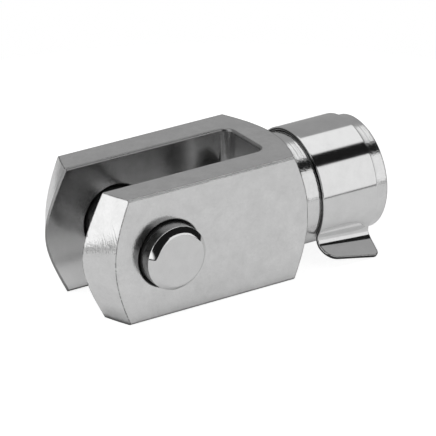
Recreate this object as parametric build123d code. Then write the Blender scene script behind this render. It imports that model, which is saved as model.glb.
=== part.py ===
from build123d import *
import os
from math import acos, atan2, cos, degrees, hypot, isclose, radians, sin, sqrt, tan

# Clevis rod end (fork head) with a spring clip pin, in millimetres and degrees.
# The rod's axis is +X, from the fork's tip to the threaded neck. The pin lies along Y, with its
# chamfered nose at -Y and the clip's arm at +Y. +Z is up. The origin is where the two axes cross.

# Fork head: one piece of square bar, turned at both ends, slotted, cross-bored and tapped
bar_width = 20.0             # across the flats of the square bar
bar_edge_break = 0.25        # chamfer of the bar's four long edges
slot_width = 10.0            # between the two ears
slot_depth = 20.0            # pin axis to the slot's floor
slot_corner_radius = 1.55    # in the two corners of the slot's floor
slot_mouth_radius = 0.4      # of the rounded edges round the slot's two mouths
slot_tip_chamfer = 0.35      # between the slot's walls and the ears' turned tips
fork_reach = 12.2            # pin axis to the ears' tips, before their inner edges are broken
shoulder_reach = 24.5        # pin axis to the end of the square
shoulder_diameter = 20.1     # of the flat ring where the rear cone starts
cone_slope = 31.0            # of both turned cones, from a plane square to the rod's axis
neck_reach = 40.0            # pin axis to the neck's end face
neck_diameter = 17.7
neck_fillet = 1.0            # between the neck and the shoulder
neck_chamfer = 0.25          # round the neck's end
thread_core_diameter = 8.5   # of the M10 thread
thread_mouth_chamfer = 0.9
bore_rim_outside = 0.36      # chamfer of the cross bore on the ears' outer faces
bore_rim_inside = 0.55       # chamfer of the cross bore inside the slot

# Pin: turned, with a shoulder and a spigot that is riveted in the clip's arm
pin_diameter = 9.94
pin_clearance = 0.04         # radial, in the cross bore
nose_reach = 3.06            # from the ear's outer face to the pin's end
nose_chamfer_length = 1.15
nose_chamfer_depth = 0.89
spigot_diameter = 5.6
rivet_diameter = 7.6
rivet_height = 1.0
rivet_rim = 0.35             # height of the rivet head's straight rim

# Spring clip: one strip of spring steel
sheet = 0.6                  # thickness of the strip
clip_clearance = 0.04        # between the strip and the fork head that it lies on
arm_end_radius = 6.8         # of the arm's round end, about the pin
arm_width = 10.0             # where the arm meets the joggle
joggle_start = 0.7           # from the end of the square
joggle_length = 2.55         # from the flat arm to the wrap
joggle_spans = 5             # stretches that the joggle's surface is lofted through
wrap_width = 9.85            # along the neck
wrap_near_angle = 28.0       # below the horizontal, where the wrap is plain up to
lip_root_front = 31.5        # below the horizontal, where the lip bends off on the fork's side
lip_root_rear = 39.0         # below the horizontal, where it bends off on the other side
lip_bend_radius = 1.15       # in the hollow of the bend between the wrap and the lip
lip_bend_slope = 50.0        # below the horizontal, where the bend eases
lip_ease_front = 2.4         # radius from there to the flat, on the fork's side
lip_ease_rear = 4.8          # radius from there to the flat, on the other side
lip_slope = 38.5             # of the flat, below the horizontal
lip_front_length = 2.05      # of the flat, on the fork's side
lip_rear_length = 2.8        # of the flat, on the other side
lip_front_corner = 2.8       # radius of the lip's corner nearer the fork
lip_rear_corner = 0.9        # radius of the lip's other corner

# Worked out from the sizes above
half_bar = bar_width / 2
half_slot = slot_width / 2
pin_radius = pin_diameter / 2
bore_radius = pin_radius + pin_clearance
neck_radius = neck_diameter / 2
core_radius = thread_core_diameter / 2
cone_rise = tan(radians(cone_slope))
beyond = bar_width           # how far a cutting tool runs past the metal
hair = 0.001                 # how close counts as being in the same place
turned_radius = half_bar * sqrt(2) + bar_edge_break   # clears the bar's corners
arm_inner = half_bar + clip_clearance
arm_outer = arm_inner + sheet
wrap_inner = neck_radius + clip_clearance
wrap_outer = wrap_inner + sheet
joggle_front = shoulder_reach + joggle_start
wrap_front = joggle_front + joggle_length
wrap_rear = wrap_front + wrap_width


def turned_profile():
    """Half section of the turned bar, in the plane of the rod's axis."""
    apex = -fork_reach - cone_rise * half_slot
    ring = shoulder_diameter / 2
    front = Polyline(
        (apex, 0),
        (apex + cone_rise * turned_radius, turned_radius),
        (shoulder_reach - cone_rise * (turned_radius - ring), turned_radius),
        (shoulder_reach, ring),
        (shoulder_reach, neck_radius + neck_fillet),
    )
    fillet_centre = (shoulder_reach + neck_fillet, neck_radius + neck_fillet)
    neck_round = CenterArc(fillet_centre, neck_fillet, 180, 90)
    rear = Polyline(
        (shoulder_reach + neck_fillet, neck_radius),
        (neck_reach - neck_chamfer, neck_radius),
        (neck_reach, neck_radius - neck_chamfer),
        (neck_reach, 0),
        (apex, 0),
    )
    return make_face(front.edges() + neck_round.edges() + rear.edges())


def square_bar():
    """The bar that the fork head is turned from, with its long edges broken."""
    flats = Rectangle(bar_width, bar_width)
    section = chamfer(flats.vertices(), bar_edge_break)
    start = Plane.YZ.offset(-fork_reach - beyond)
    return extrude(start * section, fork_reach + neck_reach + 2 * beyond)


def slot_cutter():
    """The slot, open at the fork's tip, with rounded corners at its floor."""
    length = fork_reach + beyond + slot_depth
    outline = Pos(slot_depth - length / 2, 0) * Rectangle(length, slot_width)
    floor_corners = outline.vertices().group_by(Axis.X)[-1]
    outline = fillet(floor_corners, slot_corner_radius)
    return extrude(outline, half_bar + beyond, both=True)


def ease_slot_edges(body):
    """The slotted body with the slot's edges chamfered at the ears' tips and rounded at its mouths."""
    turned_edges = body.edges().filter_by(GeomType.HYPERBOLA)
    tips = [edge for edge in turned_edges if isclose(abs((edge @ 0.5).Y), half_slot)]
    body = chamfer(tips, slot_tip_chamfer)
    by_height = body.edges().group_by(Axis.Z)
    flat_edges = by_height[0] + by_height[-1]
    beside_slot = flat_edges.filter_by_position(Axis.Y, -half_slot - hair, half_slot + hair)
    mouths = beside_slot.filter_by_position(Axis.X, -fork_reach, slot_depth + hair)
    return fillet(mouths, slot_mouth_radius)


def cross_bore_cutter():
    """The bore for the pin through both ears, with a chamfer at each of its four rims."""
    inside = bore_radius + bore_rim_inside
    outside = bore_radius + bore_rim_outside
    half = Polyline(
        (0, 0),
        (inside, 0),
        (inside, half_slot),
        (bore_radius, half_slot + bore_rim_inside),
        (bore_radius, half_bar - bore_rim_outside),
        (outside, half_bar),
        (outside, half_bar + beyond),
        (0, half_bar + beyond),
        (0, 0),
    )
    cutter = revolve(make_face(half), Axis.Y)
    return cutter + mirror(cutter, Plane.XZ)


def thread_cutter():
    """The thread's core hole, from the neck's end into the slot, with a chamfered mouth."""
    mouth = core_radius + thread_mouth_chamfer
    start = slot_depth - slot_corner_radius
    profile = Polyline(
        (start, 0),
        (start, core_radius),
        (neck_reach - thread_mouth_chamfer, core_radius),
        (neck_reach, mouth),
        (neck_reach + beyond, mouth),
        (neck_reach + beyond, 0),
        (start, 0),
    )
    return revolve(make_face(profile), Axis.X)


def clevis_body():
    """The fork head."""
    turned = revolve(turned_profile(), Axis.X)
    body = turned & square_bar()
    body = ease_slot_edges(body - slot_cutter())
    return body - cross_bore_cutter() - thread_cutter()


def pin():
    """The pin, with its nose at -Y and its riveted head at +Y."""
    nose_end = -half_bar - nose_reach
    nose_radius = pin_radius - nose_chamfer_depth
    spigot = spigot_diameter / 2
    rivet = rivet_diameter / 2
    rim_top = arm_outer + rivet_rim
    dome_height = rivet_height - rivet_rim
    dome_radius = (rivet ** 2 + dome_height ** 2) / (2 * dome_height)
    shaft = Polyline(
        (0, nose_end),
        (nose_radius, nose_end),
        (pin_radius, nose_end + nose_chamfer_length),
        (pin_radius, arm_inner),
        (spigot, arm_inner),
        (spigot, arm_outer),
        (rivet, arm_outer),
        (rivet, rim_top),
    )
    dome_centre = (0, rim_top + dome_height - dome_radius)
    dome_start = degrees(acos(rivet / dome_radius))
    dome = CenterArc(dome_centre, dome_radius, dome_start, 90 - dome_start)
    axis_line = Line((0, rim_top + dome_height), (0, nose_end))
    return revolve(make_face(shaft.edges() + dome.edges() + axis_line.edges()), Axis.Y)


def polar(radius, angle):
    """The point at a distance from the origin and an angle from the section's first axis."""
    return Vector(radius * cos(radians(angle)), radius * sin(radians(angle)))


def strip_sector(centre, inner, start_angle, arc):
    """Section of the strip where it is bent, with the given inner radius, about a point."""
    outer = inner + sheet
    ends = []
    for angle in (start_angle, start_angle + arc):
        direction = Vector(cos(radians(angle)), sin(radians(angle)))
        ends.append(Line(centre + direction * inner, centre + direction * outer))
    inside = CenterArc(centre, inner, start_angle, arc)
    outside = CenterArc(centre, outer, start_angle, arc)
    return make_face(inside.edges() + outside.edges() + ends[0].edges() + ends[1].edges())


def clip_arm():
    """The flat arm on the far ear: round about the pin, then tapering towards the neck."""
    half_width = arm_width / 2
    reach = hypot(joggle_front, half_width)
    tangent = atan2(half_width, joggle_front) + acos(arm_end_radius / reach)
    touch = (arm_end_radius * cos(tangent), arm_end_radius * sin(tangent))
    sides = Polyline(
        (touch[0], -touch[1]),
        (joggle_front, -half_width),
        (joggle_front, half_width),
        touch,
    )
    round_end = ThreePointArc(touch, (-arm_end_radius, 0), (touch[0], -touch[1]))
    outline = make_face(sides.edges() + round_end.edges()) - Circle(spigot_diameter / 2)
    face = Plane((0, arm_inner, 0), x_dir=(1, 0, 0), z_dir=(0, -1, 0)) * outline
    return extrude(face, -sheet)


def joggle_section(step):
    """Section of the strip between the flat arm (step 0) and the round wrap (step 1)."""
    weight = step * step * (3 - 2 * step)
    middle = arm_inner + (wrap_inner - arm_inner) * weight
    place = Plane.YZ.offset(joggle_front + joggle_length * step)
    if weight == 0:
        return place * Pos(middle + sheet / 2, 0) * Rectangle(sheet, arm_width)
    radius = wrap_inner / weight
    half_angle = degrees(arm_width / 2 / radius)
    return place * strip_sector(Vector(middle - radius, 0), radius, -half_angle, 2 * half_angle)


def clip_joggle():
    """The stretch that steps down from the ear's face to the neck and takes on its curve."""
    return loft([joggle_section(span / joggle_spans) for span in range(joggle_spans + 1)])


def clip_wrap():
    """The C-shaped wrap, from the arm's lower side over the neck to the lip."""
    far_angle = degrees(arm_width / 2 / wrap_inner)
    sector = strip_sector(Vector(0, 0), wrap_inner, -far_angle, far_angle + 180 + wrap_near_angle)
    return extrude(Plane.YZ.offset(wrap_front) * sector, wrap_width)


def across_lip(front, rear, x):
    """A size that changes evenly from the lip's side nearer the fork to its other side."""
    return front + (rear - front) * (x - wrap_front) / wrap_width


def lip_side(x, depth, spare=0):
    """Section of one face of the strip, at a depth below its outer face, from the wrap to the tip."""
    ease_radius = across_lip(lip_ease_front, lip_ease_rear, x)
    length = across_lip(lip_front_length, lip_rear_length, x) + spare
    start = 180 + wrap_near_angle
    bend_start = 180 + across_lip(lip_root_front, lip_root_rear, x)
    bend_end = 90 + lip_bend_slope
    ease_end = 90 + lip_slope
    bend_centre = polar(wrap_outer + lip_bend_radius, bend_start)
    ease_centre = bend_centre + polar(ease_radius - lip_bend_radius, bend_end)
    flat_start = ease_centre - polar(ease_radius + depth, ease_end)
    wrap = CenterArc((0, 0), wrap_outer - depth, start, bend_start - start)
    bend = CenterArc(bend_centre, lip_bend_radius + depth, bend_start + 180, bend_end - bend_start)
    ease = CenterArc(ease_centre, ease_radius + depth, bend_end + 180, ease_end - bend_end)
    flat = Line(flat_start, flat_start + polar(length, ease_end + 90))
    return [wrap, bend, ease, flat]


def lip_section(x):
    """Section of the strip from the wrap to beyond the lip's tip."""
    outer = lip_side(x, 0, sheet)
    inner = lip_side(x, sheet, sheet)
    ends = [Line(outer[0] @ 0, inner[0] @ 0), Line(outer[-1] @ 1, inner[-1] @ 1)]
    return Plane.YZ.offset(x) * make_face([part.edge() for part in outer + inner + ends])


def lip_outline():
    """What the lip's blank is trimmed with: its two rounded corners, and sides far longer than it."""
    across_strip = polar(1, 90 + lip_slope)
    back = polar(beyond, lip_slope)
    corners = []
    for x in (wrap_front, wrap_rear):
        tip = lip_side(x, 0)[-1] @ 1
        corners.append(Vector(x, tip.X, tip.Y))
    sides = [corner + Vector(0, back.X, back.Y) for corner in corners]
    outline = make_face(Polyline(corners[0], corners[1], sides[1], sides[0], corners[0]))
    for corner, radius in zip(corners, (lip_front_corner, lip_rear_corner)):
        outline = fillet(outline.vertices().sort_by_distance(corner)[:1], radius)
    return extrude(outline, beyond, dir=(0, across_strip.X, across_strip.Y), both=True)


def clip_lip():
    """The thumb lip, bent outwards from the wrap's near end on a skew, with two rounded corners."""
    blank = loft([lip_section(wrap_front - sheet), lip_section(wrap_rear + sheet)], ruled=True)
    return blank & lip_outline()


def spring_clip():
    """The clip, from the round end about the pin to the thumb lip."""
    return clip_arm() + clip_joggle() + clip_wrap() + clip_lip()


os.makedirs("parts", exist_ok=True)
for name, make in (("clevis_body", clevis_body), ("pin", pin), ("spring_clip", spring_clip)):
    export_step(make(), f"parts/{name}.step")
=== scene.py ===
"""Clevis rod end with its spring clip pin: looks, studio and camera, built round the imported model.

Lengths are in millimetres until a mesh is made; MM turns them into Blender's metres. +X runs along
the rod's axis, +Y along the pin, +Z up, and the two axes cross at the origin.
"""
import bmesh
import bpy
from math import acos, atan2, ceil, cos, hypot, pi, radians, sin, sqrt, tan
from mathutils import Matrix, Vector
from mathutils.geometry import intersect_point_line
from mathutils.kdtree import KDTree


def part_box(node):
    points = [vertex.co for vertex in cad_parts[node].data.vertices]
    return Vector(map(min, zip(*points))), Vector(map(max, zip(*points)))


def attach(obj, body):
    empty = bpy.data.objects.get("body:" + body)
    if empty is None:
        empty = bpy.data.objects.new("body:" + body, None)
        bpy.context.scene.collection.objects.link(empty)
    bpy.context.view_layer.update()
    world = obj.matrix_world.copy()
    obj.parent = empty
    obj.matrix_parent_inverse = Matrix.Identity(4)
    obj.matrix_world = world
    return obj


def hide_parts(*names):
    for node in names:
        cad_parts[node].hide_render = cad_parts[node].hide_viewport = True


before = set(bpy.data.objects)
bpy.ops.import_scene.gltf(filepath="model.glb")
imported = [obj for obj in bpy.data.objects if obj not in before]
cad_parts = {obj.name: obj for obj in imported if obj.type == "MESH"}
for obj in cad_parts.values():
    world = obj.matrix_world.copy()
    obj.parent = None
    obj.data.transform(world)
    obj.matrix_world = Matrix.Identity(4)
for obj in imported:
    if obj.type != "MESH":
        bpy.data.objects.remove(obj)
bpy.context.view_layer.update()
MM = 0.001

# ------------------------------------------------------------------ camera
CAMERA_AZIMUTH = -32.77        # degrees; 0 looks along +Y
CAMERA_ELEVATION = 24.15
CAMERA_ROLL = -0.41
CAMERA_DISTANCE = 622.9         # along the view, from the object's origin
CAMERA_ASIDE = 12.585           # sideways and up from the line through the origin
CAMERA_ABOVE = 1.729
FOCAL_LENGTH = 347.0
SENSOR_WIDTH = 36.0
NEAREST_SEEN = 50.0
FARTHEST_SEEN = 20000.0


def make_camera():
    """The camera at the photograph's viewing angle and framing."""
    azimuth, elevation, roll = (radians(a) for a in (CAMERA_AZIMUTH, CAMERA_ELEVATION, CAMERA_ROLL))
    back = Vector((sin(azimuth) * cos(elevation), -cos(azimuth) * cos(elevation), sin(elevation)))
    level = Vector((cos(azimuth), sin(azimuth), 0))
    upright = back.cross(level)
    right = level * cos(roll) + upright * sin(roll)
    up = upright * cos(roll) - level * sin(roll)
    data = bpy.data.cameras.new("camera")
    data.lens = FOCAL_LENGTH
    data.sensor_width = SENSOR_WIDTH
    data.clip_start = NEAREST_SEEN * MM
    data.clip_end = FARTHEST_SEEN * MM
    camera = bpy.data.objects.new("camera", data)
    bpy.context.scene.collection.objects.link(camera)
    place = (right * CAMERA_ASIDE + up * CAMERA_ABOVE + back * CAMERA_DISTANCE) * MM
    turn = Matrix((right, up, back)).transposed().to_4x4()
    camera.matrix_world = Matrix.Translation(place) @ turn
    bpy.context.scene.camera = camera


# ------------------------------------------------------------------ node helpers
def emptied_tree(owner):
    owner.use_nodes = True
    owner.node_tree.nodes.clear()
    return owner.node_tree


def add(tree, kind, inputs=None, **settings):
    """A new node. An input given as a socket is linked, and any other is set."""
    node = tree.nodes.new(kind)
    for key, setting in settings.items():
        setattr(node, key, setting)
    for key, given in (inputs or {}).items():
        if isinstance(given, bpy.types.NodeSocket):
            tree.links.new(given, node.inputs[key])
        else:
            node.inputs[key].default_value = given
    return node


def math_node(tree, operation, first, second=0.0, third=0.0):
    return add(tree, "ShaderNodeMath", {0: first, 1: second, 2: third}, operation=operation).outputs[0]


# ------------------------------------------------------------------ studio
TABLE_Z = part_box("clevis_body")[0].z / MM
TABLE_RADIUS = 92.0
TABLE_SEGMENTS = 128
TABLE_MIDDLE = (13.0, 0.0)
TABLE_GAP = 0.02                # under the object, so that no faces coincide
TABLE_PAPER = 0.58
TABLE_GLOW_CAMERA = 0.84        # what the camera sees of the table besides its lit paper
TABLE_GLOW_METAL = 0.38         # what the metal sees of it
TABLE_SHADE_REACH = 2.5         # painted shadow: how near to the object the glow that the metal sees is darkened
TABLE_SHADE_SAMPLES = 8
WHITE = (1, 1, 1, 1)
# Panels of light. Each has its radiance, its bounds in degrees round the X axis (0 is up and 90 is
# -Y), its bounds in the direction's X and in its Z, and how soft those three pairs of bounds are.
PANELS = {
    "overhead": (1.02, (-29.0, 14.5), (-0.78, 0.58), (-1.2, 1.2), (5.0, 0.05, 0.05)),
    "overhead_end": (0.40, (-29.0, 17.3), (0.58, 0.80), (-1.2, 1.2), (1.8, 0.05, 0.05)),
    "front": (0.95, (39.5, 98.0), (-0.02, 0.88), (-1.2, 1.2), (3.0, 0.10, 0.05)),
    "left": (1.15, (-190.0, 190.0), (-1.2, -0.80), (-0.10, 1.2), (4.0, 0.05, 0.03)),
    "backdrop": (0.36, (-100.0, -29.0), (-0.80, 0.84), (-1.2, 1.2), (4.0, 0.06, 0.05)),
    "ground": (0.55, (-190.0, 190.0), (-1.2, 1.2), (-1.2, -0.15), (4.0, 0.05, 0.04)),
}
ROOM = 0.012                    # radiance between the panels


def make_table():
    """A round pale table that glows evenly to the camera, so that it melts into the white round it; the
    glow that the metal sees has a painted shadow near the object.
    """
    mesh = bpy.data.meshes.new("table")
    bm = bmesh.new()
    bmesh.ops.create_circle(bm, cap_ends=True, segments=TABLE_SEGMENTS, radius=TABLE_RADIUS * MM)
    bm.to_mesh(mesh)
    bm.free()
    table = bpy.data.objects.new("table", mesh)
    table.location = Vector((*TABLE_MIDDLE, TABLE_Z - TABLE_GAP)) * MM
    bpy.context.scene.collection.objects.link(table)
    material = bpy.data.materials.new("table_white")
    tree = emptied_tree(material)
    path = add(tree, "ShaderNodeLightPath").outputs
    # Painted shadow: ambient occlusion darkens the table's glow, as the metal sees it, near the object.
    reach = {"Distance": TABLE_SHADE_REACH * MM}
    shade = add(tree, "ShaderNodeAmbientOcclusion", reach, samples=TABLE_SHADE_SAMPLES)
    to_metal = math_node(tree, "MULTIPLY", shade.outputs["AO"], TABLE_GLOW_METAL)
    to_camera = math_node(tree, "MULTIPLY", path["Is Camera Ray"], TABLE_GLOW_CAMERA)
    strength = math_node(tree, "MULTIPLY_ADD", path["Is Glossy Ray"], to_metal, to_camera)
    paper = add(tree, "ShaderNodeBsdfDiffuse", {"Color": (TABLE_PAPER, TABLE_PAPER, TABLE_PAPER, 1)})
    glow = add(tree, "ShaderNodeEmission", {"Color": WHITE, "Strength": strength})
    both = add(tree, "ShaderNodeAddShader", {0: paper.outputs[0], 1: glow.outputs[0]})
    add(tree, "ShaderNodeOutputMaterial", {"Surface": both.outputs[0]})
    mesh.materials.append(material)


def ramp(tree, number, start, end, low=0.0, high=1.0):
    """Smoothly from low at start to high at end."""
    inputs = {"Value": number, "From Min": start, "From Max": end, "To Min": low, "To Max": high}
    return add(tree, "ShaderNodeMapRange", inputs, interpolation_type="SMOOTHSTEP").outputs[0]


def between(tree, number, bounds, softness):
    """1 between the bounds and 0 outside them."""
    half = softness / 2
    rising = ramp(tree, number, bounds[0] - half, bounds[0] + half)
    falling = ramp(tree, number, bounds[1] - half, bounds[1] + half, 1.0, 0.0)
    return math_node(tree, "MULTIPLY", rising, falling)


def make_world():
    """White to the camera; to the metal a dark room with panels of light."""
    world = bpy.data.worlds.new("studio")
    bpy.context.scene.world = world
    tree = emptied_tree(world)
    path = add(tree, "ShaderNodeLightPath").outputs
    direction = add(tree, "ShaderNodeTexCoord").outputs["Generated"]
    along, across, up = add(tree, "ShaderNodeSeparateXYZ", {0: direction}).outputs
    near = math_node(tree, "MULTIPLY", across, -1.0)
    turn = math_node(tree, "DEGREES", math_node(tree, "ARCTAN2", near, up))
    light = ROOM
    for radiance, *bounds, softness in PANELS.values():
        panel = radiance
        for number, limits, soft in zip((turn, along, up), bounds, softness):
            panel = math_node(tree, "MULTIPLY", panel, between(tree, number, limits, soft))
        light = math_node(tree, "MAXIMUM", light, panel)
    inputs = {"Factor": path["Is Camera Ray"], "A": light, "B": 1.0}
    strength = add(tree, "ShaderNodeMix", inputs, data_type="FLOAT").outputs[0]
    back = add(tree, "ShaderNodeBackground", {"Color": WHITE, "Strength": strength})
    add(tree, "ShaderNodeOutputWorld", {"Surface": back.outputs[0]})


# ------------------------------------------------------------------ meshes
def finished_object(name, bm, body, *materials):
    """An object from a bmesh in millimetres, which rides on a body."""
    bm.transform(Matrix.Scale(MM, 4))
    mesh = bpy.data.meshes.new(name)
    bm.to_mesh(mesh)
    bm.free()
    for material in materials:
        mesh.materials.append(material)
    piece = bpy.data.objects.new(name, mesh)
    bpy.context.scene.collection.objects.link(piece)
    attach(piece, body)
    return piece


def baked(piece):
    """Applies the piece's modifiers to its mesh."""
    bpy.context.view_layer.update()
    graph = bpy.context.evaluated_depsgraph_get()
    made = bpy.data.meshes.new_from_object(piece.evaluated_get(graph), depsgraph=graph)
    old = piece.data
    piece.modifiers.clear()
    piece.data = made
    made.name = piece.name
    bpy.data.meshes.remove(old)


def smooth_but_sharp(mesh, angle):
    """Smooth shading, with edges sharper than an angle in degrees kept."""
    bm = bmesh.new()
    bm.from_mesh(mesh)
    for face in bm.faces:
        face.smooth = True
    for edge in bm.edges:
        edge.smooth = edge.is_manifold and edge.calc_face_angle(0) < radians(angle)
    bm.to_mesh(mesh)
    bm.free()


def weigh_normals(piece):
    """Lets the largest faces round a corner set its normal."""
    modifier = piece.modifiers.new("flat faces stay flat", "WEIGHTED_NORMAL")
    modifier.keep_sharp = True
    modifier.weight = 100


# ------------------------------------------------------------------ spring clip
SHEET = 0.6
ARM_INNER = 10.04               # +Y side of the ear, where the arm lies
ARM_MIDDLE = ARM_INNER + SHEET / 2
ARM_END_RADIUS = 6.8
ARM_HALF_WIDTH = 5.0
SPIGOT_RADIUS = 2.8
JOGGLE_FRONT = 25.2
WRAP_FRONT = 27.75
WRAP_REAR = 37.6
WRAP_INNER = 8.89
LIP_ROOT = (31.5, 39.0)         # degrees below the horizontal, at the lip's front and rear side
LIP_BEND_RADIUS = 1.15          # in the hollow of the bend
LIP_BEND_SLOPE = 50.0           # where the bend eases
LIP_EASE_RADIUS = (2.4, 4.8)    # from there to the flat, at the front and rear side
LIP_SLOPE = 38.5
LIP_LENGTH = (2.05, 2.8)        # of the flat, at the front and rear side
LIP_CORNER = (2.8, 0.9)
EDGE_ROLL = 0.17                # rounding that the press leaves on the strip's edges
LIP_SHADE_BELOW = -7.6           # the lip's roll takes the cut edge's near-black colour, as painted shade, below this Z
ROLL_SHADE_SHARE = 0.9                 # and where the sheet has less than this share of its thickness
CLIP_SHARP = 40                 # degrees; edges of the strip that bend more stay sharp
FLAT_ON_ARM = 0.99999           # a face's normal along Y, from which it is one of the arm's flats
NEARLY_FLAT = 0.8               # cosine between a flat and a face that may share its normal

# How finely the strip is divided.
ROLL_STEPS = 4
ARM_COLUMNS = 52                # across, between the rolls
ARM_ROWS = 8                    # along, from the ring round the spigot to the joggle
RING_FRONT = 7.5                # where that ring ends
RING_SHARES = (0.0, 0.35, 0.7)  # its rows between the spigot and the roll
ROUND_END_COLUMNS = 110
JOGGLE_ROWS = 32
WRAP_ROWS = 10                  # between the lip's two corners
WRAP_COLUMNS = 150
CORNER_ROWS = (16, 8)
LIP_COLUMNS = 50
LIP_STEPS = (60, 20, 40)        # of the bend, of where it eases and of the flat
ROLL_MARGIN = 0.03              # between the roll's last row and the next one
STILL_FLAT = 1e-6               # share of the joggle's bend, below which there is none
WELD = 1e-4


def spread(start, end, count):
    """Both ends and the even divisions between them."""
    return [start + (end - start) * i / count for i in range(count + 1)]


# Distances from the strip's edge of the rows that shape its roll.
ROLL_ROWS = [EDGE_ROLL * (1 - cos(a)) for a in spread(0, pi / 2, ROLL_STEPS)]


def arm_columns():
    """Places across the arm, with the roll's rows along both sides."""
    side = [ARM_HALF_WIDTH - row for row in ROLL_ROWS]
    return [-c for c in side[:-1]] + spread(-side[-1], side[-1], ARM_COLUMNS) + side[-2::-1]


def on_strip(x, around):
    """The strip's middle surface at x, at a distance round the neck along its inner face."""
    half = SHEET / 2
    step = min(max((x - JOGGLE_FRONT) / (WRAP_FRONT - JOGGLE_FRONT), 0), 1)
    weight = step * step * (3 - 2 * step)
    inner = ARM_INNER + (WRAP_INNER - ARM_INNER) * weight
    if weight < STILL_FLAT:
        return Vector((x, inner + half, around))
    radius = WRAP_INNER / weight
    angle = around / radius
    return Vector((x, inner - radius + (radius + half) * cos(angle), (radius + half) * sin(angle)))


def grid(bm, rows):
    """Quads between rows of points."""
    made = [[bm.verts.new(point) for point in row] for row in rows]
    for first, second in zip(made, made[1:]):
        for a, b, c, d in zip(first, first[1:], second[1:], second):
            bm.faces.new((a, b, c, d))


def side_start():
    """Angle at the pin's axis, in radians from +X, where the arm's round end meets its straight side."""
    return atan2(ARM_HALF_WIDTH, JOGGLE_FRONT) + acos(ARM_END_RADIUS / hypot(JOGGLE_FRONT, ARM_HALF_WIDTH))


def arm_outline_point(angle):
    """Where a ray from the pin's axis leaves the arm's round end, its sides or the ring's front."""
    tangent = side_start()
    if abs(angle) >= tangent:
        return ARM_END_RADIUS * cos(angle), ARM_END_RADIUS * sin(angle)
    side = ARM_END_RADIUS / cos(abs(angle) - tangent)
    x, z = side * cos(angle), side * sin(angle)
    if x > RING_FRONT:
        x, z = RING_FRONT, RING_FRONT * tan(angle)
    return x, z


def arm_half_width(x):
    """Half the arm's width at x, on its straight part."""
    tangent = side_start()
    touch_x, touch_z = ARM_END_RADIUS * cos(tangent), ARM_END_RADIUS * sin(tangent)
    return touch_z + (ARM_HALF_WIDTH - touch_z) * (x - touch_x) / (JOGGLE_FRONT - touch_x)


def arm_ring(angles, share, row):
    """Points round the spigot: a share of the way to the outline, and a row's distance short of it."""
    corner = atan2(arm_half_width(RING_FRONT), RING_FRONT)
    ring = []
    for angle in angles:
        turned = atan2(sin(angle), cos(angle))
        outer = hypot(*arm_outline_point(turned))
        slant = cos(max(side_start() - max(abs(turned), corner), 0))
        reach = SPIGOT_RADIUS + (outer - SPIGOT_RADIUS) * share - row / slant
        ring.append(Vector((reach * cos(angle), ARM_MIDDLE, reach * sin(angle))))
    return ring + ring[:1]


def build_arm(bm):
    """A ring of rows round the spigot, then straight rows to the joggle."""
    half = arm_half_width(RING_FRONT)
    straight = [atan2(half * c / ARM_HALF_WIDTH, RING_FRONT) for c in arm_columns()]
    round_end = spread(straight[-1], 2 * pi - straight[-1], ROUND_END_COLUMNS)
    angles = straight + round_end[1:-1]
    rings = [arm_ring(angles, share, 0.0) for share in RING_SHARES]
    grid(bm, rings + [arm_ring(angles, 1.0, row) for row in ROLL_ROWS[::-1]])
    rows = []
    for x in spread(RING_FRONT, JOGGLE_FRONT, ARM_ROWS):
        scale = arm_half_width(x) / ARM_HALF_WIDTH
        rows.append([Vector((x, ARM_MIDDLE, c * scale)) for c in arm_columns()])
    grid(bm, rows)


def across_lip(sizes, x):
    """A size that changes evenly from the lip's front side to its rear side."""
    return sizes[0] + (sizes[1] - sizes[0]) * (x - WRAP_FRONT) / (WRAP_REAR - WRAP_FRONT)


def polar(radius, angle):
    """A point in (y, z) by its distance and its angle in degrees, from +Y towards +Z."""
    return Vector((radius * cos(radians(angle)), radius * sin(radians(angle))))


def lip_curve(x):
    """The strip's middle line in (y, z) at x, from the lip's root to its untrimmed tip."""
    half = SHEET / 2
    bend_start = 180 + across_lip(LIP_ROOT, x)
    bend_end = 90 + LIP_BEND_SLOPE
    ease_end = 90 + LIP_SLOPE
    ease_radius = across_lip(LIP_EASE_RADIUS, x)
    bend_centre = polar(WRAP_INNER + SHEET + LIP_BEND_RADIUS, bend_start)
    ease_centre = bend_centre + polar(ease_radius - LIP_BEND_RADIUS, bend_end)
    bend_steps, ease_steps, flat_steps = LIP_STEPS
    bend = spread(bend_start, bend_end, bend_steps)
    ease = spread(bend_end, ease_end, ease_steps)[1:]
    flat = spread(0, 1, flat_steps)[1:]
    points = [bend_centre - polar(LIP_BEND_RADIUS + half, a) for a in bend]
    points += [ease_centre - polar(ease_radius + half, a) for a in ease]
    way = polar(across_lip(LIP_LENGTH, x), ease_end + 90)
    return points + [points[-1] + way * share for share in flat]


def lip_limit(x):
    """How far out the lip goes at x, along its flat: a skew line with a rounded corner at each end."""
    along = polar(1, 180 + LIP_SLOPE)
    front, rear = (lip_curve(side)[-1].dot(along) for side in (WRAP_FRONT, WRAP_REAR))
    slope = (rear - front) / (WRAP_REAR - WRAP_FRONT)
    limit = front + slope * (x - WRAP_FRONT)
    for side, edge, radius in ((1, WRAP_FRONT, LIP_CORNER[0]), (-1, WRAP_REAR, LIP_CORNER[1])):
        # The corner's circle touches the lip's side and the skew line.
        centre_x = edge + side * radius
        centre = front + slope * (centre_x - WRAP_FRONT) - radius * hypot(1, slope)
        touch_x = centre_x - radius * slope / hypot(1, slope)
        if side * (x - touch_x) < 0:
            limit = centre + sqrt(max(radius ** 2 - (x - centre_x) ** 2, 0))
    return limit


def trimmed(points, limit):
    """The points up to where they cross a limit, measured along the lip's flat."""
    along = polar(1, 180 + LIP_SLOPE)
    for i, (here, ahead) in enumerate(zip(points, points[1:])):
        reach, next_reach = here.dot(along), ahead.dot(along)
        if reach <= limit < next_reach:
            return points[:i + 1] + [here.lerp(ahead, (limit - reach) / (next_reach - reach))]
    return points


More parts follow.
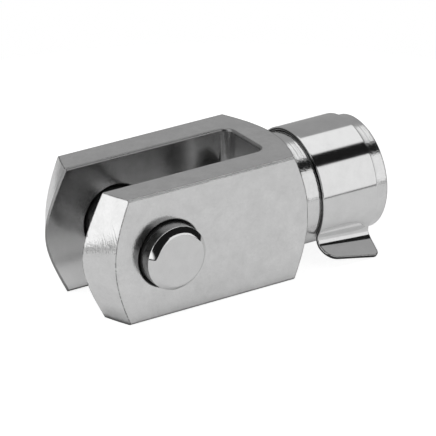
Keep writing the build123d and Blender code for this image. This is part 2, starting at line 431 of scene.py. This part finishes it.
def evenly(points, count):
    """The same line with its points an even distance apart, and the roll's rows at its end."""
    travelled = [0.0]
    for here, ahead in zip(points, points[1:]):
        travelled.append(travelled[-1] + (ahead - here).length)
    length = travelled[-1]
    targets = spread(0, length - EDGE_ROLL, count) + [length - row for row in ROLL_ROWS[-2::-1]]
    made, i = [], 0
    for target in targets:
        while i < len(points) - 2 and travelled[i + 1] < target:
            i += 1
        share = (target - travelled[i]) / (travelled[i + 1] - travelled[i])
        made.append(points[i].lerp(points[i + 1], share))
    return made


def corner_stations(radius, count):
    """Distances from the wrap's side: the roll's rows, then those of one of the lip's corners."""
    round_corner = [radius * (1 - cos(a)) for a in spread(0, pi / 2, count)]
    return ROLL_ROWS + [distance for distance in round_corner if distance > EDGE_ROLL + ROLL_MARGIN]


def wrap_stations():
    """X of the rows across the wrap and the lip."""
    front, rear = (corner_stations(*corner) for corner in zip(LIP_CORNER, CORNER_ROWS))
    middle = spread(WRAP_FRONT + front[-1], WRAP_REAR - rear[-1], WRAP_ROWS)[1:-1]
    return [WRAP_FRONT + x for x in front] + middle + [WRAP_REAR - x for x in rear[::-1]]


def build_joggle_and_wrap(bm):
    """The joggle's rows, then rows that go round the neck and out along the lip."""
    joggle = spread(JOGGLE_FRONT, WRAP_FRONT, JOGGLE_ROWS)
    grid(bm, [[on_strip(x, c) for c in arm_columns()] for x in joggle])
    rows = []
    for x in wrap_stations():
        root = WRAP_INNER * radians(180 + across_lip(LIP_ROOT, x))
        columns = arm_columns() + spread(ARM_HALF_WIDTH, root, WRAP_COLUMNS)[1:]
        lip = evenly(trimmed(lip_curve(x), lip_limit(x)), LIP_COLUMNS)
        row = [on_strip(x, c) for c in columns] + [Vector((x, point.x, point.y)) for point in lip[1:]]
        rows.append(row)
    grid(bm, rows)


def rolled_thickness(bm):
    """Each point's share of the sheet's thickness: less near the strip's edge, where it is rolled."""
    hole = (SPIGOT_RADIUS + ARM_HALF_WIDTH) / 2
    rim = [v for v in bm.verts if v.is_boundary and hypot(v.co.x, v.co.z) > hole]
    tree = KDTree(len(rim))
    for i, vertex in enumerate(rim):
        tree.insert(vertex.co, i)
    tree.balance()
    shares = []
    for vertex in bm.verts:
        distance = EDGE_ROLL
        for _, i, _ in tree.find_n(vertex.co, 2):
            for edge in rim[i].link_edges:
                if edge.is_boundary:
                    start, end = (v.co for v in edge.verts)
                    share = min(max(intersect_point_line(vertex.co, start, end)[1], 0), 1)
                    distance = min(distance, (vertex.co - start.lerp(end, share)).length)
        lost = EDGE_ROLL - sqrt(max(EDGE_ROLL ** 2 - (EDGE_ROLL - distance) ** 2, 0))
        shares.append(1 - lost / (SHEET / 2))
    return shares


def keep_flats(mesh):
    """Corners that touch one of the arm's flat faces get its normal, however narrow the face."""
    flat = {}
    for face in mesh.polygons:
        if abs(face.normal.y) > FLAT_ON_ARM:
            flat.update((i, face.normal.copy()) for i in face.vertices)
    normals = [corner.vector.copy() for corner in mesh.corner_normals]
    for face in mesh.polygons:
        for i, loop in zip(face.vertices, face.loop_indices):
            if i in flat and flat[i].dot(face.normal) > NEARLY_FLAT:
                normals[loop] = flat[i]
    mesh.normals_split_custom_set(normals)


def make_clip(face_steel, cut_edge_shade):
    """The strip: its middle surface, thickened, with less thickness where the edges are rolled."""
    bm = bmesh.new()
    build_arm(bm)
    build_joggle_and_wrap(bm)
    bmesh.ops.remove_doubles(bm, verts=bm.verts, dist=WELD)
    bmesh.ops.recalc_face_normals(bm, faces=bm.faces)
    shares = rolled_thickness(bm)
    piece = finished_object("retaining_clip", bm, "clip_pin", face_steel, cut_edge_shade)
    group = piece.vertex_groups.new(name="thickness")
    for i, share in enumerate(shares):
        group.add([i], share, "REPLACE")
    thick = piece.modifiers.new("sheet", "SOLIDIFY")
    thick.thickness = SHEET * MM
    thick.offset = 0
    thick.vertex_group = group.name
    thick.material_offset_rim = 1
    baked(piece)
    # Painted shade: the lip's rolled edge gets the cut edge's near-black colour.
    for face in piece.data.polygons:
        thinnest = min(piece.data.vertices[i].groups[0].weight for i in face.vertices)
        if thinnest < ROLL_SHADE_SHARE and face.center.z / MM < LIP_SHADE_BELOW:
            face.material_index = 1
    smooth_but_sharp(piece.data, CLIP_SHARP)
    weigh_normals(piece)
    baked(piece)
    keep_flats(piece.data)
    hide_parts("spring_clip")


# ------------------------------------------------------------------ pin
PIN_RADIUS = 4.97
NOSE_END = -13.06
NOSE_CHAMFER = 0.89             # at 45 degrees
NOSE_EDGE_RADIUS = 0.6          # between the chamfer and the end face
NOSE_RIM_RADIUS = 0.16          # between the chamfer and the pin's side
RIVET_RADIUS = 3.8
RIVET_RIM = 0.35
RIVET_HEIGHT = 1.0
RIVET_RIM_RADII = (0.08, 0.1)   # of the rim's edge on the arm and of its outer one
PIN_SEGMENTS = 192
CROWN_STEPS = 14
ROUNDING_STEPS = 5
PIN_SHARP = 28
END_FACE = 0.995                # a face's normal along Y, from which it belongs to the end face
NOSE_MARGIN = 0.2               # past the chamfer, for its rounding
PIN_FACE, PIN_CHAMFER, PIN_SIDE, PIN_RIVET = range(4)   # places in pin_materials()


def rounded(points, radii):
    """A polyline in (radius, y) with its inner corners rounded."""
    made = [Vector(points[0])]
    for before, here, after, radius in zip(points, points[1:], points[2:], radii):
        here = Vector(here)
        if radius == 0:
            made.append(here)
            continue
        back, ahead = (Vector(before) - here).normalized(), (Vector(after) - here).normalized()
        half = back.angle(ahead) / 2
        centre = here + (back + ahead).normalized() * (radius / sin(half))
        first = here + back * (radius / tan(half)) - centre
        last = here + ahead * (radius / tan(half)) - centre
        turn = first.angle_signed(last)
        for angle in spread(0, -turn, ROUNDING_STEPS):
            made.append(centre + Matrix.Rotation(angle, 2) @ first)
    made.append(Vector(points[-1]))
    return made


def lathe(bm, profile, segments):
    """Turns a profile in (radius, y) about the Y axis; it starts and ends on the axis."""
    rings = []
    for radius, y in profile[1:-1]:
        ring = []
        for i in range(segments):
            angle = 2 * pi * i / segments
            ring.append(bm.verts.new((radius * cos(angle), y, radius * sin(angle))))
        rings.append(ring)
    for first, second in zip(rings, rings[1:]):
        for i in range(segments):
            j = (i + 1) % segments
            bm.faces.new((first[i], first[j], second[j], second[i]))
    for ring, point in ((rings[0], profile[0]), (rings[-1], profile[-1])):
        tip = bm.verts.new((0, point[1], 0))
        for i in range(segments):
            bm.faces.new((ring[i], ring[(i + 1) % segments], tip))
    bmesh.ops.recalc_face_normals(bm, faces=bm.faces)


def pin_surface(centre, normal):
    """Which of the pin's materials a face gets."""
    if centre.y > ARM_INNER:
        return PIN_RIVET
    if centre.y > NOSE_END + NOSE_CHAMFER + NOSE_MARGIN:
        return PIN_SIDE
    return PIN_FACE if abs(normal.y) > END_FACE else PIN_CHAMFER


def make_pin(materials):
    """The pin with its riveted head, as one turned profile."""
    arm_outer = ARM_INNER + SHEET
    dome = RIVET_HEIGHT - RIVET_RIM
    dome_radius = (RIVET_RADIUS ** 2 + dome ** 2) / (2 * dome)
    rim_top = arm_outer + RIVET_RIM
    corners = [
        (0, NOSE_END),
        (PIN_RADIUS - NOSE_CHAMFER, NOSE_END),
        (PIN_RADIUS, NOSE_END + NOSE_CHAMFER),
        (PIN_RADIUS, ARM_INNER),
        (SPIGOT_RADIUS, ARM_INNER),
        (SPIGOT_RADIUS, arm_outer),
        (RIVET_RADIUS, arm_outer),
        (RIVET_RADIUS, rim_top),
    ]
    crown = []
    for share in spread(0, 1, CROWN_STEPS)[1:]:
        radius = RIVET_RADIUS * (1 - share)
        crown.append((radius, rim_top + dome - dome_radius + sqrt(dome_radius ** 2 - radius ** 2)))
    radii = (NOSE_EDGE_RADIUS, NOSE_RIM_RADIUS, 0, 0, 0, *RIVET_RIM_RADII)
    profile = rounded(corners + crown[:1], radii)
    bm = bmesh.new()
    lathe(bm, profile + [Vector(point) for point in crown[1:]], PIN_SEGMENTS)
    piece = finished_object("clevis_pin", bm, "clip_pin", *materials)
    for face in piece.data.polygons:
        face.material_index = pin_surface(face.center / MM, face.normal)
    smooth_but_sharp(piece.data, PIN_SHARP)
    weigh_normals(piece)
    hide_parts("pin")


# ------------------------------------------------------------------ fork head
BAR_HALF_WIDTH = 10.0
SLOT_FLOOR = 20.0
SLOT_HALF_WIDTH = 5.0
BORE_RADIUS = 4.99
NECK_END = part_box("clevis_body")[1].x / MM
THREAD_PITCH = 1.5
THREAD_ROOT_RADIUS = 5.0
THREAD_ROOT_FLAT = THREAD_PITCH / 8
THREAD_CORE_RADIUS = 4.25
THREAD_FLANK = 30.0             # degrees, from square to the axis
THREAD_STEPS = 48               # round one turn
THREAD_SPARE = 0.3              # how far the cutter reaches inside the core hole
THREAD_SPARE_TURNS = 2
FORK_WELD = 1e-3
FORK_SHARP = 24
CAD_SHADING = ("custom_normal", "sharp_edge", "sharp_face")
# Places in fork_materials().
DRAWN, TURNED, MILLED, BORED, THREADED, BROKEN_EDGE, SLOT_RIM = range(7)
# How far past a form's own size the middles of its faces may lie.
THREAD_MARGIN = 0.2
BORE_MARGIN = 0.6               # takes in the chamfers of its rims
EAR_MARGIN = 0.1
SLOT_FLOOR_MARGIN = 0.1
SLOT_RIM_MARGIN = 0.45
SLOT_WALL_MARGIN = 0.02
SLOT_WALL_TOP = 9.58            # below the rounding of the slot's mouth
EDGE_BREAK_FROM = 9.7           # Y and Z of the bar's broken edges
# Components of a face's normal along an axis, from which or up to which the face
ALONG = 0.99                    # looks along that axis
MOSTLY = 0.9                    # mostly looks along it
HARDLY = 0.1                    # hardly does
SQUARE_TO = 0.05                # looks square to it


def thread_cutter():
    """A helical rib of 60 degree form that cuts the thread in the core hole."""
    inner = THREAD_CORE_RADIUS - THREAD_SPARE
    outer = THREAD_ROOT_RADIUS
    root = THREAD_ROOT_FLAT / 2
    foot = root + (outer - inner) * tan(radians(THREAD_FLANK))
    section = ((inner, -foot), (outer, -root), (outer, root), (inner, foot))
    turns = ceil((NECK_END - SLOT_FLOOR) / THREAD_PITCH) + THREAD_SPARE_TURNS
    bm = bmesh.new()
    rings = []
    for i in range(turns * THREAD_STEPS + 1):
        angle = 2 * pi * i / THREAD_STEPS
        start = SLOT_FLOOR - THREAD_PITCH + THREAD_PITCH * i / THREAD_STEPS
        rings.append([bm.verts.new((start + s, r * cos(angle), r * sin(angle))) for r, s in section])
    for first, second in zip(rings, rings[1:]):
        for k in range(4):
            j = (k + 1) % 4
            bm.faces.new((first[k], first[j], second[j], second[k]))
    bm.faces.new(rings[0])
    bm.faces.new(rings[-1])
    bmesh.ops.recalc_face_normals(bm, faces=bm.faces)
    return bm


def in_slot_region(centre):
    return abs(centre.y) < SLOT_HALF_WIDTH + SLOT_RIM_MARGIN and centre.x < SLOT_FLOOR + SLOT_RIM_MARGIN


def on_slot_wall(centre, normal):
    inside = abs(centre.y) < SLOT_HALF_WIDTH + SLOT_WALL_MARGIN and abs(centre.z) < SLOT_WALL_TOP
    return inside and abs(normal.z) < HARDLY


def on_broken_edge(centre, normal):
    diagonal = abs(abs(normal.y) - abs(normal.z)) < HARDLY
    return abs(normal.x) < SQUARE_TO and diagonal and abs(centre.y) > EDGE_BREAK_FROM


def fork_surface(centre, normal):
    """Which of the fork's materials a face gets."""
    from_rod_axis = hypot(centre.y, centre.z)
    from_pin_axis = hypot(centre.x, centre.z)
    if centre.x > SLOT_FLOOR - SLOT_FLOOR_MARGIN and from_rod_axis < THREAD_ROOT_RADIUS + THREAD_MARGIN:
        return THREADED
    in_ears = abs(centre.y) < BAR_HALF_WIDTH + EAR_MARGIN and abs(normal.y) < MOSTLY
    if from_pin_axis < BORE_RADIUS + BORE_MARGIN and in_ears:
        return BORED
    if in_slot_region(centre):
        if on_slot_wall(centre, normal):
            return MILLED
        if abs(normal.z) < ALONG:
            return SLOT_RIM
    if max(abs(normal.y), abs(normal.z)) > ALONG:
        return DRAWN
    return BROKEN_EDGE if on_broken_edge(centre, normal) else TURNED


def make_fork(materials):
    """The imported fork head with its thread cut."""
    bm = bmesh.new()
    bm.from_mesh(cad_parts["clevis_body"].data)
    bm.transform(Matrix.Scale(1 / MM, 4))
    bmesh.ops.remove_doubles(bm, verts=bm.verts, dist=FORK_WELD)
    piece = finished_object("fork_head", bm, "clevis", *materials)
    for name in CAD_SHADING:
        attribute = piece.data.attributes.get(name)
        if attribute:
            piece.data.attributes.remove(attribute)
    cutter = finished_object("cutter", thread_cutter(), "clevis")
    cut = piece.modifiers.new("thread", "BOOLEAN")
    cut.object = cutter
    cut.operation = "DIFFERENCE"
    cut.solver = "EXACT"
    baked(piece)
    bpy.data.objects.remove(cutter)
    for face in piece.data.polygons:
        face.material_index = fork_surface(face.center / MM, face.normal)
    smooth_but_sharp(piece.data, FORK_SHARP)
    weigh_normals(piece)
    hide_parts("clevis_body")


# ------------------------------------------------------------------ materials
CUTTER_CENTRE = (-45.0, 0.0, 4.0)   # of the marks that the slotting cutter leaves
DRAWN_SQUEEZE = 0.97            # how much the drawn bar's marks are stretched along it
RAGGED_SIZE = 0.5               # of the gaps in the edge mark, which is partly rubbed metal and partly painted shade
RAGGED_FROM, RAGGED_TO = 0.30, 0.55
EDGE_MARK_FROM, EDGE_MARK_TO = 0.9985, 0.975  # cosine between the softened and the true normal
CREVICE_SHADE_FROM, CREVICE_SHADE_TO = 0.85, 0.25     # how open a corner is where the painted shade in it starts and where it is full
EDGE_SAMPLES = 4
CREVICE_SAMPLES = 6
# How much of the roughness, or how much roughness, each of these changes.
GLOSS_BLOTS = 0.7
GLOSS_MARKS = 0.6
GLOSS_WEAR = -0.3
GLOSS_IN_SHADE = 0.3


def vector_node(tree, operation, first, *second):
    """The outputs of a vector math node."""
    inputs = dict(enumerate((first, *second)))
    return add(tree, "ShaderNodeVectorMath", inputs, operation=operation).outputs


def marks_round(tree, place, axis, centre=(0, 0, 0)):
    """Coordinates for marks that a tool leaves round an axis: distance from it, place along it."""
    offset = vector_node(tree, "SUBTRACT", place, centre)[0]
    inwards = vector_node(tree, "MULTIPLY", offset, tuple(1 - a for a in axis))[0]
    distance = vector_node(tree, "LENGTH", inwards)["Value"]
    lengthwise = vector_node(tree, "DOT_PRODUCT", offset, axis)["Value"]
    return add(tree, "ShaderNodeCombineXYZ", {0: distance, 1: lengthwise, 2: 0.0}).outputs[0]


def clouds(tree, place, size, detail=3.0, rough=0.6):
    """Noise round 0.5 whose blots are about a size in millimetres."""
    inputs = {"Vector": place, "Scale": 1 / size, "Detail": detail, "Roughness": rough}
    return add(tree, "ShaderNodeTexNoise", inputs, noise_dimensions="3D").outputs[0]


def centred(tree, noise_value, amount, base=0.0):
    """base plus amount times how far a noise is from its middle."""
    offset = math_node(tree, "SUBTRACT", noise_value, 0.5)
    return math_node(tree, "MULTIPLY_ADD", offset, amount, base)


def steel(
    name,
    colour,
    roughness,
    marks,
    mark_size=0.12,
    mark_depth=0.0006,
    grain_size=0.22,
    grain_depth=0.0006,
    mottle=0.08,
    mottle_size=2.2,
    edge=0.12,
    wear_and_edge_shade=0.10,
    crevice=0.55,
    crevice_reach=0.7,
):
    """Plated steel: tool marks, grain, blotches, rubbed edges with painted shade along them, and painted
    shade that darkens the corners.

    The sizes, depths and reaches are in millimetres. edge is how far the edge mark spreads from an edge.
    wear is what it adds to the colour, so that an edge is darker than its faces where it is below 0:
    that darkening is partly rubbed metal and partly painted shade along the edge. crevice is how much
    painted shade darkens the colour in corners and gaps, which also get rougher there.
    """
    material = bpy.data.materials.new(name)
    tree = emptied_tree(material)
    own = add(tree, "ShaderNodeTexCoord").outputs["Object"]
    place = add(tree, "ShaderNodeVectorMath", {0: own, "Scale": 1 / MM}, operation="SCALE").outputs[0]

    tool = clouds(tree, marks(tree, place), mark_size, detail=2.0)
    grain = clouds(tree, place, grain_size)
    blots = clouds(tree, place, mottle_size, detail=5.0)

    softened = add(tree, "ShaderNodeBevel", {"Radius": edge * MM}, samples=EDGE_SAMPLES).outputs[0]
    true_normal = add(tree, "ShaderNodeNewGeometry").outputs["Normal"]
    likeness = vector_node(tree, "DOT_PRODUCT", softened, true_normal)["Value"]
    near_edge = ramp(tree, likeness, EDGE_MARK_FROM, EDGE_MARK_TO)
    ragged = ramp(tree, clouds(tree, place, RAGGED_SIZE), RAGGED_FROM, RAGGED_TO)
    worn_and_shaded = math_node(tree, "MULTIPLY", near_edge, ragged)
    reach = {"Distance": crevice_reach * MM}
    open_air = add(tree, "ShaderNodeAmbientOcclusion", reach, samples=CREVICE_SAMPLES).outputs["AO"]
    painted_shade = ramp(tree, open_air, CREVICE_SHADE_FROM, CREVICE_SHADE_TO, 0.0, crevice)

    tone = centred(tree, blots, mottle * 2 * colour, colour)
    tone = centred(tree, grain, mottle * colour, tone)
    # The edge mark: where its tone is below 0 the edges are painted darker than the faces, partly as
    # rubbed metal and partly as painted shade.
    tone = math_node(tree, "MULTIPLY_ADD", worn_and_shaded, wear_and_edge_shade, tone)
    # Painted shade: the colour darkens in corners and gaps, where the ambient occlusion finds little open
    # air.
    tone = math_node(tree, "MULTIPLY", tone, math_node(tree, "SUBTRACT", 1.0, painted_shade))
    base = add(tree, "ShaderNodeCombineColor", {0: tone, 1: tone, 2: tone}).outputs[0]

    gloss = centred(tree, blots, roughness * GLOSS_BLOTS, roughness)
    gloss = centred(tree, tool, roughness * GLOSS_MARKS, gloss)
    gloss = math_node(tree, "MULTIPLY_ADD", worn_and_shaded, GLOSS_WEAR * roughness, gloss)
    gloss = math_node(tree, "MULTIPLY_ADD", painted_shade, GLOSS_IN_SHADE, gloss)

    bumped = softened
    for height, depth in ((tool, mark_depth), (grain, grain_depth)):
        inputs = {"Height": height, "Distance": depth * MM, "Normal": bumped}
        bumped = add(tree, "ShaderNodeBump", inputs).outputs[0]
    inputs = {"Base Color": base, "Metallic": 1.0, "Roughness": gloss, "Normal": bumped}
    shader = add(tree, "ShaderNodeBsdfPrincipled", inputs)
    add(tree, "ShaderNodeOutputMaterial", {"Surface": shader.outputs[0]})
    return material


def round_x(tree, place):
    return marks_round(tree, place, (1, 0, 0))


def round_y(tree, place):
    return marks_round(tree, place, (0, 1, 0))


def cutter_sweep(tree, place):
    return marks_round(tree, place, (0, 1, 0), CUTTER_CENTRE)


def drawn(tree, place):
    """Coordinates for marks that run along the bar."""
    return vector_node(tree, "MULTIPLY", place, (1 - DRAWN_SQUEEZE, 1, 1))[0]


def fork_materials():
    """In the order of the places DRAWN to SLOT_RIM."""
    return [
        steel(
            "zinc_drawn", 0.76, 0.17, drawn,
            mark_depth=0.003, grain_size=0.35, grain_depth=0.012, mottle=0.14, edge=0.26, wear_and_edge_shade=-0.75,
        ),
        steel(
            "zinc_turned", 0.76, 0.11, round_x,
            mark_size=0.4, mark_depth=0.04, grain_size=0.35, grain_depth=0.02, mottle=0.12,
            edge=0.26, wear_and_edge_shade=-0.75, crevice=0.9, crevice_reach=1.1,
        ),
        steel("zinc_milled", 0.78, 0.20, cutter_sweep, mark_size=0.25, mark_depth=0.0020, wear_and_edge_shade=-0.4),
        steel("zinc_bored", 0.62, 0.22, round_y, mark_size=0.2, mark_depth=0.0015),
        steel("zinc_thread", 0.42, 0.32, round_x, mark_depth=0.0010, edge=0.05, crevice=0.8),
        steel(
            "zinc_broken_edge", 0.78, 0.42, drawn,
            grain_size=0.5, grain_depth=0.06, mottle=0.2, wear_and_edge_shade=0.0,
        ),
        steel(
            "zinc_slot_rim", 0.30, 0.30, drawn,
            mark_depth=0.002, grain_depth=0.004, mottle=0.2, wear_and_edge_shade=0.0,
        ),
    ]


def pin_materials():
    """In the order of the places PIN_FACE to PIN_RIVET."""
    return [
        steel("pin_face", 0.75, 0.17, round_y, mark_size=0.2, mark_depth=0.0006, edge=0.05, wear_and_edge_shade=0.1),
        steel("pin_chamfer", 0.75, 0.07, round_y, mark_size=0.2, mark_depth=0.0008, edge=0.05, wear_and_edge_shade=0.1),
        # The side is the end face's steel; its dark, mottled colour is painted shade.
        steel(
            "pin_side_painted_shade", 0.26, 0.28, round_y,
            mark_size=0.3, mark_depth=0.006, mottle=0.5, mottle_size=0.9,
        ),
        steel("pin_rivet", 0.72, 0.18, round_y, mark_size=0.2, mark_depth=0.002, crevice=0.8),
    ]


def clip_materials():
    """The strip's rolled faces and its cut edge, whose near-black colour is painted shade."""
    return (
        steel(
            "strip", 0.76, 0.09, drawn,
            mark_depth=0.0002, grain_depth=0.0003, mottle=0.09, edge=0.05, wear_and_edge_shade=0.0,
        ),
        # The cut edge's near-black colour is painted shade.
        steel(
            "strip_cut_edge_painted_shade", 0.06, 0.34, drawn,
            mark_depth=0.004, grain_depth=0.008, mottle=0.2, wear_and_edge_shade=0.0,
        ),
    )


make_camera()
make_table()
make_world()
make_clip(*clip_materials())
make_pin(pin_materials())
make_fork(fork_materials())

bpy.context.scene.view_settings.view_transform = "Standard"
